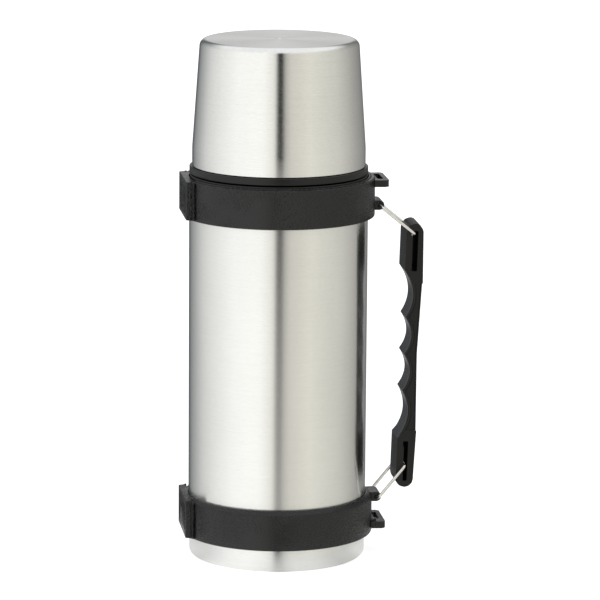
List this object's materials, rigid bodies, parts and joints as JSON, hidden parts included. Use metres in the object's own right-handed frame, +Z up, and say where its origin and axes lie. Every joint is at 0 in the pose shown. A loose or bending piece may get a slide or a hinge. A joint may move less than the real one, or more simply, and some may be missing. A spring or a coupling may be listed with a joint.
{
  "type": "vacuum flask",
  "caption": "Steel vacuum flask with a screw-on cup, a push-button stopper, two plastic bands and a fold-in side handle.",
  "frame": {"origin": "middle of the flask's underside, on the surface it stands on", "axes": "+Z up along the flask's axis, +X towards the handle, +Y to complete the right-handed frame"},
  "size_m": [0.1343, 0.1076, 0.2926],
  "materials": {
    "brushed_steel": "brushed round the axis",
    "plain_steel": "drawn, unpolished",
    "wire_steel": "bright drawn wire",
    "black_plastic": "fine-grained satin",
    "handle_plastic": "fine-grained satin with a glossier finger side",
    "grey_plastic": "satin",
    "silicone": "matte",
    "foam": "open-celled foam",
    "bright_foil": "bright rolled foil"
  },
  "bodies": {
    "flask": {"outer_shell": "brushed_steel", "base_shell": "brushed_steel", "jacket_floor": "plain_steel", "getter": "plain_steel", "inner_vessel": "plain_steel", "radiation_foil": "bright_foil", "neck_collar": "black_plastic", "lower_band": "black_plastic", "upper_band": "black_plastic", "lower_clasp": "black_plastic", "upper_clasp": "black_plastic"},
    "stopper_ring": {"stopper_gasket": "silicone"},
    "stopper": {"stopper_body": "black_plastic", "stopper_foam": "foam", "stopper_base": "black_plastic", "button_spring": "wire_steel"},
    "button": {"push_button": "grey_plastic", "valve_stem": "grey_plastic", "valve_seal": "silicone"},
    "cup_ring": {"cup_gasket": "silicone"},
    "cup": {"cup_shell": "brushed_steel", "cup_liner": "black_plastic"},
    "upper_wire": {"upper_link": "wire_steel"},
    "lower_wire": {"lower_link": "wire_steel"},
    "grip": {"handle": "handle_plastic"}
  },
  "joints": [
    {"name": "stopper_rise", "type": "slide", "parent": "flask", "child": "stopper_ring", "axis": [0, 0, 1], "range_m": [0, 0.042]},
    {"name": "stopper_turn", "type": "hinge", "parent": "stopper_ring", "child": "stopper", "pos_m": [0, 0, 0.2586], "axis": [0, 0, 1], "range_deg": [0, 1260]},
    {"name": "button_press", "type": "slide", "parent": "stopper", "child": "button", "axis": [0, 0, -1], "range_m": [0, 0.0035], "stiffness_N_per_m": 600, "springref_m": -0.002, "deforming": ["button_spring"]},
    {"name": "cup_rise", "type": "slide", "parent": "stopper", "child": "cup_ring", "axis": [0, 0, 1], "range_m": [0, 0.06]},
    {"name": "cup_turn", "type": "hinge", "parent": "cup_ring", "child": "cup", "pos_m": [0, 0, 0.2363], "axis": [0, 0, 1], "range_deg": [0, 1800]},
    {"name": "handle_fold", "type": "hinge", "parent": "flask", "child": "upper_wire", "pos_m": [0.056, 0, 0.1994], "axis": [0, 1, 0], "range_deg": [-3, 48]},
    {"name": "handle_follow", "type": "hinge", "parent": "upper_wire", "child": "grip", "pos_m": [0.06587, 0, 0.17943], "axis": [0, 1, 0], "range_deg": [-50, 3.2]},
    {"name": "lower_wire_follow", "type": "hinge", "parent": "flask", "child": "lower_wire", "pos_m": [0.056, 0, 0.0322], "axis": [0, 1, 0], "range_deg": [-37, 2.4]}
  ],
  "couplings": [
    {"joint": "stopper_rise", "follows": "stopper_turn", "m_per_rad": 0.0019099},
    {"joint": "cup_rise", "follows": "cup_turn", "m_per_rad": 0.0019099},
    {"joint": "handle_follow", "follows": "handle_fold", "ratio": -1.036},
    {"joint": "lower_wire_follow", "follows": "handle_fold", "ratio": -0.764}
  ]
}
